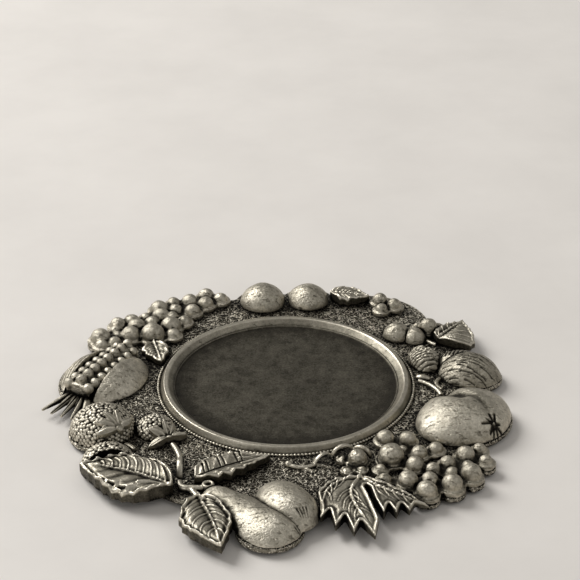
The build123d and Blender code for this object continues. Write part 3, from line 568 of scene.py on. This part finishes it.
# Strawberry calyxes, each sepal ridged along its middle; each sepal: bearing, length
calyxes = {
    "voxel": 0.2, "soften": 5, "ridgeStops": (0.22, 0.55, 0.92), "ridge": (0.42, 0.7, 0.7, 0.62),
    "sootAndShade": 0.1,
    "hubs": {"strawberry_calyx_large": (-59.2, -39.2), "strawberry_calyx_small": (-41.8, -39.4)},
    "sepals": {
        "strawberry_calyx_large": [(56, 6.8), (108, 6.2), (148, 7.4), (180, 8.8), (206, 9.0)],
        "strawberry_calyx_small": [(22, 6.8), (74, 6.4), (112, 6.0), (168, 7.6), (213, 8.8)],
    },
}
for node, hub in calyxes["hubs"].items():
    piece = castCopy(node, calyxes["voxel"], calyxes["soften"])
    lines = [[polarPoint(hub, s * long, math.radians(bearing)) for s in calyxes["ridgeStops"]]
             for bearing, long in calyxes["sepals"][node]]
    carve(piece, drawn(lines, calyxes["ridge"]))
    sootAndShade[piece.name] += calyxes["sootAndShade"]
    settle(piece, node, "pewter_foliage")
print("calyxes ridged")

# Apple with a hollow at the stem, a cleft and a star of cuts at the blossom end
apple = {
    "root": (56.0, -15.0), "heading": -52, "voxel": 0.38, "soften": 24, "dentSize": 9.0, "dentDepth": 0.6,
    "lean": 0.4, "eye": (27.5, 2.0), "rays": 9, "ray": 4.6, "rayInner": 0.9, "rayCurl": 0.05,
    "rayStray": 0.2, "rayStrayTurn": 3, "rayShort": 0.78, "rayVary": 0.22, "rayVaryTurn": 2.3,
    "rayStroke": (0.36, -1.0, 1.3, -0.2),
    "cleftBow": 3.0, "cleftStops": (0.3, 0.5, 0.75, 0.95), "cleftStroke": (2.2, -0.8, 0.6, 0.0),
    "hollowAcross": 1.8, "hollowStops": (0, 5, 10), "hollowStroke": (4.2, -2.6, 0.7, 0.0),
}
star = []
for number in range(apple["rays"]):
    stray = apple["rayStray"] * math.sin(apple["rayStrayTurn"] * number)
    turn = math.tau * (number + stray) / apple["rays"]
    reach = apple["ray"] * (apple["rayShort"] + apple["rayVary"] * math.sin(apple["rayVaryTurn"] * number))
    star.append([planPoint(apple, *polarPoint(apple["eye"], s, turn + apple["rayCurl"] * s))
                 for s in (reach, reach / 2, apple["rayInner"])])
cleft = [planPoint(apple, apple["eye"][0] * s, apple["eye"][1] + apple["cleftBow"] * math.sin(math.pi * s))
         for s in apple["cleftStops"]]
hollow = [planPoint(apple, along, apple["hollowAcross"]) for along in apple["hollowStops"]]
piece = castCopy("apple", apple["voxel"], apple["soften"])
dent(piece, apple["dentSize"], apple["dentDepth"])
carve(piece, [(hollow, *apple["hollowStroke"]), (cleft, *apple["cleftStroke"])]
      + drawn(star, apple["rayStroke"]), apple["lean"])
settle(piece, "apple", "pewter_fruit")
print("apple cast")

# Almond, hatched with short cuts, and its ridged hull
almond = {
    "root": (66.0, 5.0), "heading": -14, "voxel": 0.28, "soften": 12, "dentSize": 6.0, "dentDepth": 0.3,
    "rows": 15, "pitch": 1.25, "parts": 3, "first": -9.0, "partLong": 7.2, "stray": 2.6, "strayTurn": 2.4,
    "span": 4.6, "spanVary": 1.6, "spanTurns": (1.7, 2.1), "closing": 0.007, "slant": 0.9,
    "cut": (0.24, -0.55, 0.7, -0.14), "lean": 0.35, "sootAndShade": 0.5,
}
hatch = []
for row in range(almond["rows"]):
    across = (row - (almond["rows"] - 1) / 2) * almond["pitch"]
    for part in range(almond["parts"]):
        start = (almond["first"] + part * almond["partLong"]
                 + almond["stray"] * math.sin(row * almond["strayTurn"] + part))
        span = almond["span"] + almond["spanVary"] * math.sin(row * almond["spanTurns"][0]
                                                              + part * almond["spanTurns"][1])
        line = []
        for s in (0, 0.5, 1):
            along = start + span * s
            line.append(planPoint(almond, along,
                                  across * (1 - almond["closing"] * along) - almond["slant"] * (s - 0.5)))
        hatch.append(line)
piece = castCopy("almond", almond["voxel"], almond["soften"])
dent(piece, almond["dentSize"], almond["dentDepth"])
carve(piece, drawn(hatch, almond["cut"]), almond["lean"])
sootAndShade[piece.name] += almond["sootAndShade"]
settle(piece, "almond", "pewter_fruit")
hull = {"voxel": 0.26, "soften": 6, "first": -8.5, "last": 9.5, "pitch": 1.5, "slant": 0.08,
        "cutStops": (6.0, 9.0, 13.5), "cut": (0.3, -0.6, 0.8, -0.2), "lean": 0.3, "sootAndShade": 0.3}
piece = castCopy("almond_hull", hull["voxel"], hull["soften"])
hullCuts = [[planPoint(almond, x + hull["slant"] * across, across) for across in hull["cutStops"]]
            for x in np.arange(hull["first"], hull["last"], hull["pitch"])]
carve(piece, drawn(hullCuts, hull["cut"]), hull["lean"])
sootAndShade[piece.name] += hull["sootAndShade"]
settle(piece, "almond_hull", "pewter_fruit")

# Hazelnut with rings, in its rough torn frill; both carry the same two ridges
hazelnut = {
    "root": (50.4, 21.15), "heading": -60, "voxel": 0.25, "lean": 0.3, "long": 14.0,
    "ridges": (-3.2, 1.2), "ridgeStops": (5, 8.5, 12.5), "ridgeBow": 0.03, "ridge": (0.4, 0.7, 0.8, 0.5),
    "soften": 8, "ringFrom": 2.0, "ringPitch": 1.6, "ringBow": ((0, -4.5), (1.2, 0), (0, 4.5)),
    "ring": (0.24, -0.3, 0.8, 0.0),
}
frill = {"soften": 3, "dentSize": 1.4, "dentDepth": 0.7, "dentLevel": 0.6, "sootAndShade": 0.3, "tearFrom": 0.0,
         "tearPitch": 1.3, "tearSlant": ((0, -7), (2.0, -2.5), (3.4, 2)), "tear": (0.28, -0.5, 0.8, -0.2)}
ridges = [[planPoint(hazelnut, x, across + hazelnut["ridgeBow"] * x * x) for x in hazelnut["ridgeStops"]]
          for across in hazelnut["ridges"]]
rings = [[planPoint(hazelnut, x + ahead, across) for ahead, across in hazelnut["ringBow"]]
         for x in np.arange(hazelnut["ringFrom"], hazelnut["long"], hazelnut["ringPitch"])]
tears = [[planPoint(hazelnut, x + ahead, across) for ahead, across in frill["tearSlant"]]
         for x in np.arange(frill["tearFrom"], hazelnut["long"], frill["tearPitch"])]
piece = castCopy("hazelnut", hazelnut["voxel"], hazelnut["soften"])
carve(piece, drawn(ridges, hazelnut["ridge"]) + drawn(rings, hazelnut["ring"]), hazelnut["lean"])
settle(piece, "hazelnut", "pewter_fruit")
piece = castCopy("hazelnut_frill", hazelnut["voxel"], frill["soften"])
dent(piece, frill["dentSize"], frill["dentDepth"], frill["dentLevel"])
sootAndShade[piece.name] += frill["sootAndShade"]
carve(piece, drawn(ridges, hazelnut["ridge"]) + drawn(tears, frill["tear"]), hazelnut["lean"])
settle(piece, "hazelnut_frill", "pewter_foliage")
print("nuts cut")

# Corn: husks folded lengthways, kernels left round, stalk split into strips
corn = {"root": (-77.55, -10.7), "heading": 61.0, "long": 34.0}
husks = {
    "voxel": 0.32, "soften": 14, "dentSize": 7.0, "dentDepth": 0.5, "foldStops": (0.1, 0.35, 0.7, 0.98),
    "foldFrom": 0.16, "foldSpan": 0.68, "foldSwell": 0.6, "lean": 0.4,
    "rows": {"corn_husk_outer": (8.2, 10.0, 11.8, 13.4, 15.0), "corn_husk_inner": (-8.6, -11.0, -13.4)},
    "folds": {"corn_husk_outer": (0.5, -0.4, 0.8, -0.1), "corn_husk_inner": (0.5, -0.1, 0.8, -0.1)},
}
for node, foldRows in husks["rows"].items():
    piece = castCopy(node, husks["voxel"], husks["soften"])
    dent(piece, husks["dentSize"], husks["dentDepth"])
    lines = []
    for row in foldRows:
        lines.append([planPoint(corn, corn["long"] * s,
                                row * math.sin(math.pi * (husks["foldFrom"] + husks["foldSpan"] * s))
                                ** husks["foldSwell"]) for s in husks["foldStops"]])
    carve(piece, drawn(lines, husks["folds"][node]), husks["lean"])
    settle(piece, node, "pewter_fruit")
cob = {"voxel": 0.26, "soften": 5, "dentSize": 2.4, "dentDepth": 0.25}
piece = castCopy("corn_cob", cob["voxel"], cob["soften"])
dent(piece, cob["dentSize"], cob["dentDepth"])
settle(piece, "corn_cob", "pewter_fruit")
stalk = {"voxel": 0.22, "soften": 3, "first": -2.5, "last": 3.0, "pitch": 1.0, "middle": 0.3, "gap": 1.4,
         "spread": 0.18, "cutStops": (0, 6, 14), "cut": (0.3, -0.7, 0.8, -0.1)}
piece = castCopy("corn_stalk", stalk["voxel"], stalk["soften"])
strips = [[planPoint(corn, -x, stalk["middle"] + strip * (stalk["gap"] + stalk["spread"] * x))
           for x in stalk["cutStops"]]
          for strip in np.arange(stalk["first"], stalk["last"], stalk["pitch"])]
carve(piece, drawn(strips, stalk["cut"]))
settle(piece, "corn_stalk", "pewter_foliage")
print("corn cast")

# Round fruit, lightly dented; each: voxel, rounds of softening, dent size, dent depth
roundFruit = {
    "grapes_right": (0.3, 8, 3.4, 0.5),
    "grapes_left": (0.32, 8, 3.4, 0.5),
    "cherry_large": (0.3, 10, 5.0, 0.4),
    "cherry_small": (0.3, 10, 5.0, 0.4),
    "berry_sprig": (0.26, 6, 3.0, 0.4),
    "back_berries": (0.28, 6, 4.0, 0.3),
    "peach_left": (0.36, 16, 7.0, 0.5),
    "peach_right": (0.36, 16, 7.0, 0.5),
    "vine_bud": (0.22, 3, 1.1, 0.7),
}
fruitSoot = 0.2
for node, (voxel, soften, size, depth) in roundFruit.items():
    fruit = castCopy(node, voxel, soften)
    dent(fruit, size, depth)
    sootAndShade[fruit.name] += fruitSoot
    settle(fruit, node, "pewter_foliage" if node == "vine_bud" else "pewter_fruit")

# Stems and twigs, each with its voxel
stems = {
    "pear_stem": 0.22, "strawberry_stem_large": 0.2, "strawberry_stem_small": 0.2, "vine_tendril": 0.2,
    "apple_stem": 0.2, "apple_hook": 0.2, "apple_pod": 0.2, "cherry_twig": 0.2,
}
stemSoften = 3
for node, voxel in stems.items():
    settle(castCopy(node, voxel, stemSoften), node, "pewter_foliage")
print("fruit and stems cast", len(wreath))

# Patina: how far each point lies below what is round it, kept on the mesh, with each piece's painted shade
# and painted highlights added
ageing = {"cell": 0.4, "margin": 10.0, "fine": 0.7, "middle": 2.0, "wide": 6.0, "fineShare": 1.2,
          "middleShare": 0.55, "wideShare": 0.1, "look": 1.5, "brightest": -0.75, "floorRadius": 41.5,
          "empty": 0.5, "fills": 2}
lowX = cadLow.x * perMetre - ageing["margin"]
lowY = cadLow.y * perMetre - ageing["margin"]
cols = int((cadHigh.x * perMetre + ageing["margin"] - lowX) / ageing["cell"])
rows = int((cadHigh.y * perMetre + ageing["margin"] - lowY) / ageing["cell"])
tops = np.zeros((cols, rows))


def gridPlace(co):
    ix = np.clip(((co[:, 0] - lowX) / ageing["cell"]).astype(int), 0, cols - 1)
    iy = np.clip(((co[:, 1] - lowY) / ageing["cell"]).astype(int), 0, rows - 1)
    return ix, iy


def blurred(grid, spread):
    fx = np.fft.fftfreq(grid.shape[0], ageing["cell"])[:, None]
    fy = np.fft.rfftfreq(grid.shape[1], ageing["cell"])[None, :]
    keep = np.exp(-2 * (math.pi * spread) ** 2 * (fx * fx + fy * fy))
    return np.fft.irfft2(np.fft.rfft2(grid) * keep, grid.shape)


for piece in wreath:
    co = readPoints(piece)[0]
    np.maximum.at(tops, gridPlace(co), co[:, 2])
gridX = np.arange(cols)[:, None] * ageing["cell"] + lowX
gridY = np.arange(rows)[None, :] * ageing["cell"] + lowY
onFloor = gridX ** 2 + gridY ** 2 < ageing["floorRadius"] ** 2
tops[onFloor & (tops < well["floor"])] = well["floor"]
for _ in range(ageing["fills"]):
    around = np.maximum.reduce([np.roll(tops, (i, j), (0, 1)) for i in (-1, 0, 1) for j in (-1, 0, 1)])
    tops = np.where(tops < ageing["empty"], around, tops)
fineTops, middleTops, wideTops = (blurred(tops, ageing[k]) for k in ("fine", "middle", "wide"))
for piece in wreath:
    co, no = readPoints(piece)
    place = gridPlace(co[:, :2] + no[:, :2] * ageing["look"])
    z = co[:, 2]
    low = (ageing["fineShare"] * (fineTops[place] - z) + ageing["middleShare"] * (middleTops[place] - z)
           + ageing["wideShare"] * (wideTops[place] - z))
    low = np.maximum(low, ageing["brightest"]) + sootAndShade.get(piece.name, 0.0)
    patinaShadeAndHighlight = piece.data.attributes.new("patinaShadeAndHighlight", "FLOAT", "POINT")
    patinaShadeAndHighlight.data.foreach_set("value", (0.5 + 0.5 * np.tanh(low)).astype(np.float32))
print("patina laid")


def addNode(tree, kind, **settings):
    # sets each value on the node itself, or else on its socket of that name
    made = tree.nodes.new(kind)
    for name, value in settings.items():
        if hasattr(made, name):
            setattr(made, name, value)
        else:
            made.inputs[name.replace("_", " ").capitalize()].default_value = value
    return made


def ramp(tree, factor, stops):
    made = tree.nodes.new("ShaderNodeValToRGB")
    while len(made.color_ramp.elements) < len(stops):
        made.color_ramp.elements.new(0.5)
    for element, (place, colour) in zip(made.color_ramp.elements, stops):
        element.position = place
        element.color = (colour, colour, colour, 1.0) if isinstance(colour, float) else (*colour, 1.0)
    tree.links.new(factor, made.inputs["Fac"])
    return made.outputs["Color"]


def mathNode(tree, operation, first, second, third=None):
    made = tree.nodes.new("ShaderNodeMath")
    made.operation = operation
    for place, value in enumerate((first, second, third)):
        if value is None:
            continue
        if isinstance(value, (int, float)):
            made.inputs[place].default_value = value
        else:
            tree.links.new(value, made.inputs[place])
    return made.outputs["Value"]


metal = {
    "cloud": {"scale": 210.0, "detail": 6.0, "roughness": 0.68},
    "grain": {"scale": 1300.0, "detail": 4.0, "roughness": 0.65},
    "pits": {"scale": 620.0, "detail": 2.0},
    "worms": {"detail": 1.0, "distortion": 0.6},
    "stretch": (0.55, 1.7, 1.0), "noiseMiddle": 0.5, "pitSoft": 0.06, "pitDeep": -0.8,
    "thread": (0.015, 0.075), "threadHigh": 1.6, "glossAt": 0.2, "dullAt": 0.9, "dull": 0.6,
    "relief": 0.0003,
}


def pewter(name, finish):
    made = bpy.data.materials.new(name)
    made.use_nodes = True
    tree = made.node_tree
    shader = tree.nodes["Principled BSDF"]
    shader.inputs["Metallic"].default_value = 1.0
    where = tree.nodes.new("ShaderNodeTexCoord").outputs["Object"]
    # the patina value from the mesh, with its painted shade and painted highlights
    ageAndPaintedLight = addNode(tree, "ShaderNodeAttribute", attribute_name="patinaShadeAndHighlight").outputs["Fac"]
    cloud = addNode(tree, "ShaderNodeTexNoise", **metal["cloud"])
    grain = addNode(tree, "ShaderNodeTexNoise", **metal["grain"])
    pits = addNode(tree, "ShaderNodeTexNoise", **metal["pits"])
    worms = addNode(tree, "ShaderNodeTexNoise", scale=finish["wormScale"], **metal["worms"])
    stretched = addNode(tree, "ShaderNodeMapping", scale=metal["stretch"])
    tree.links.new(where, stretched.inputs["Vector"])
    for texture in (cloud, grain, worms):
        tree.links.new(where, texture.inputs["Vector"])
    tree.links.new(stretched.outputs["Vector"], pits.inputs["Vector"])
    # old dark in the hollows, rubbed bright on the heights, and the painted shade and painted highlights
    # that ride in the same value
    dark = mathNode(tree, "MULTIPLY_ADD", ageAndPaintedLight, finish["ageAndPaintedLight"], finish["tone"])
    for texture, strength in ((cloud, finish["mottle"]), (grain, finish["grain"])):
        swing = mathNode(tree, "SUBTRACT", texture.outputs["Fac"], metal["noiseMiddle"])
        dark = mathNode(tree, "MULTIPLY_ADD", swing, strength, dark)
    pitEdge = [(finish["pitFrom"], 0.0), (finish["pitFrom"] + metal["pitSoft"], 1.0)]
    pitMask = ramp(tree, pits.outputs["Fac"], pitEdge)
    dark = mathNode(tree, "MULTIPLY_ADD", pitMask, finish["pitDark"], dark)
    # short bright threads where the noise crosses its middle
    swing = mathNode(tree, "SUBTRACT", worms.outputs["Fac"], metal["noiseMiddle"])
    away = mathNode(tree, "ABSOLUTE", swing, 0.0)
    thread = ramp(tree, away, [(metal["thread"][0], 1.0), (metal["thread"][1], 0.0)])
    dark = mathNode(tree, "MULTIPLY_ADD", thread, -finish["worm"], dark)
    tree.links.new(ramp(tree, dark, finish["colours"]), shader.inputs["Base Color"])
    sheen = [(metal["glossAt"], finish["gloss"]), (metal["dullAt"], metal["dull"])]
    tree.links.new(ramp(tree, dark, sheen), shader.inputs["Roughness"])
    relief = mathNode(tree, "MULTIPLY_ADD", pitMask, metal["pitDeep"], grain.outputs["Fac"])
    relief = mathNode(tree, "MULTIPLY_ADD", thread, metal["threadHigh"] * finish["worm"], relief)
    bump = addNode(tree, "ShaderNodeBump", strength=finish["bump"], distance=metal["relief"])
    tree.links.new(relief, bump.inputs["Height"])
    tree.links.new(bump.outputs["Normal"], shader.inputs["Normal"])
    return made


def speckled(name, roughness, noise, stops):
    # a plain material whose colour wanders between two tones
    made = bpy.data.materials.new(name)
    made.use_nodes = True
    tree = made.node_tree
    shader = tree.nodes["Principled BSDF"]
    shader.inputs["Roughness"].default_value = roughness
    where = tree.nodes.new("ShaderNodeTexCoord").outputs["Object"]
    speck = addNode(tree, "ShaderNodeTexNoise", **noise)
    tree.links.new(where, speck.inputs["Vector"])
    tree.links.new(ramp(tree, speck.outputs["Fac"], stops), shader.inputs["Base Color"])
    return made, shader, speck


# Finishes of the metal, from rubbed bright to sooty; the same tones show the painted shade and painted
# highlights
rubbedToShaded = [(0.0, (0.74, 0.685, 0.57)), (0.3, (0.41, 0.375, 0.30)), (0.55, (0.17, 0.155, 0.12)),
        (0.78, (0.045, 0.040, 0.030)), (1.0, (0.008, 0.007, 0.006))]
finishes = {
    "pewter_fruit": {"ageAndPaintedLight": 0.95, "tone": 0.04, "mottle": 0.7, "grain": 0.5, "pitFrom": 0.6, "pitDark": 0.2,
                     "wormScale": 420.0, "worm": 0.06, "gloss": 0.43, "bump": 0.9, "colours": rubbedToShaded},
    "pewter_foliage": {"ageAndPaintedLight": 1.05, "tone": 0.02, "mottle": 0.4, "grain": 0.36, "pitFrom": 0.66,
                       "pitDark": 0.2, "wormScale": 620.0, "worm": 0.05, "gloss": 0.38, "bump": 0.6,
                       "colours": rubbedToShaded},
    "pewter_ground": {"ageAndPaintedLight": 1.0, "tone": 0.3, "mottle": 0.2, "grain": 0.3, "pitFrom": 0.62,
                      "pitDark": 0.15, "wormScale": 700.0, "worm": 0.85, "gloss": 0.36, "bump": 1.0,
                      "colours": rubbedToShaded},
    "pewter_well": {"ageAndPaintedLight": 0.8, "tone": 0.12, "mottle": 0.4, "grain": 0.3, "pitFrom": 0.68, "pitDark": 0.2,
                    "wormScale": 420.0, "worm": 0.03, "gloss": 0.36, "bump": 0.5, "colours": rubbedToShaded},
}
skins = {slot: pewter(slot, finish) for slot, finish in finishes.items()}

# Felt, dark and dull
cloth = {"roughness": 0.95, "sheen": 0.3, "noise": {"scale": 2200.0, "detail": 5.0, "roughness": 0.7},
         "stops": [(0.3, (0.012, 0.012, 0.013)), (0.7, (0.05, 0.05, 0.052))], "bump": 0.7, "nap": 0.0004}
felt, shader, fuzz = speckled("felt", cloth["roughness"], cloth["noise"], cloth["stops"])
shader.inputs["Sheen Weight"].default_value = cloth["sheen"]
bump = addNode(felt.node_tree, "ShaderNodeBump", strength=cloth["bump"], distance=cloth["nap"])
felt.node_tree.links.new(fuzz.outputs["Fac"], bump.inputs["Height"])
felt.node_tree.links.new(bump.outputs["Normal"], shader.inputs["Normal"])
skins["felt"] = felt
for piece in wreath:
    piece.data.materials.clear()
    piece.data.materials.append(skins[piece["finish"]])
print("finishes laid")

# Table
table = {"size": 6.0, "drop": -0.0001, "roughness": 0.6,
         "noise": {"scale": 14.0, "detail": 6.0, "roughness": 0.6},
         "stops": [(0.35, (0.745, 0.705, 0.655)), (0.65, (0.80, 0.758, 0.705))]}
bpy.ops.object.select_all(action="DESELECT")
bpy.ops.mesh.primitive_plane_add(size=table["size"], location=(0, 0, table["drop"]))
tableTop = bpy.context.object
tableTop.name = "table_top"
tableTop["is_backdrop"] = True
stone = speckled("pale_table", table["roughness"], table["noise"], table["stops"])[0]
tableTop.data.materials.append(stone)

# Light; each lamp: name, place, size, power
studio = {
    "world": 0.28,
    "tint": (1.0, 0.99, 0.97, 1.0),
    "lamps": [
        ("key", (-1.35, 0.95, 1.5), 1.2, 44.0),
        ("panel", (-0.9, -1.1, 0.35), 0.6, 2.6),
        ("fill", (1.2, -0.5, 1.3), 1.0, 3.0),
    ],
}
sky = bpy.data.worlds.new("studio")
bpy.context.scene.world = sky
sky.use_nodes = True
sky.node_tree.nodes["Background"].inputs["Color"].default_value = studio["tint"]
sky.node_tree.nodes["Background"].inputs["Strength"].default_value = studio["world"]
for name, place, size, power in studio["lamps"]:
    bpy.ops.object.light_add(type="AREA", location=place)
    lamp = bpy.context.object
    lamp.name = name
    lamp.data.size = size
    lamp.data.energy = power
    lamp.rotation_euler = (-Vector(place)).to_track_quat("-Z", "Y").to_euler()
print("table and lamps set")

# Camera; focal length, picture width and offset in pixels of the photo
shot = {"aim": (0, 0, 0.0433), "distance": 0.612, "elevation": 0.5088, "focal": 1670.0, "across": 580.0,
        "offset": 4.0, "sensor": 36.0}
aim = Vector(shot["aim"])
back = Vector((0, -math.cos(shot["elevation"]), math.sin(shot["elevation"])))
bpy.ops.object.camera_add(location=aim + back * shot["distance"])
camera = bpy.context.object
camera.rotation_euler = (-back).to_track_quat("-Z", "Y").to_euler()
camera.data.sensor_width = shot["sensor"]
camera.data.lens = shot["sensor"] * shot["focal"] / shot["across"]
camera.data.shift_x = shot["offset"] / shot["across"]
bpy.context.scene.camera = camera
bpy.context.scene.view_settings.view_transform = "Standard"

bpy.context.view_layer.update()
low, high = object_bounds()
print("faces", sum(len(piece.data.polygons) for piece in wreath))
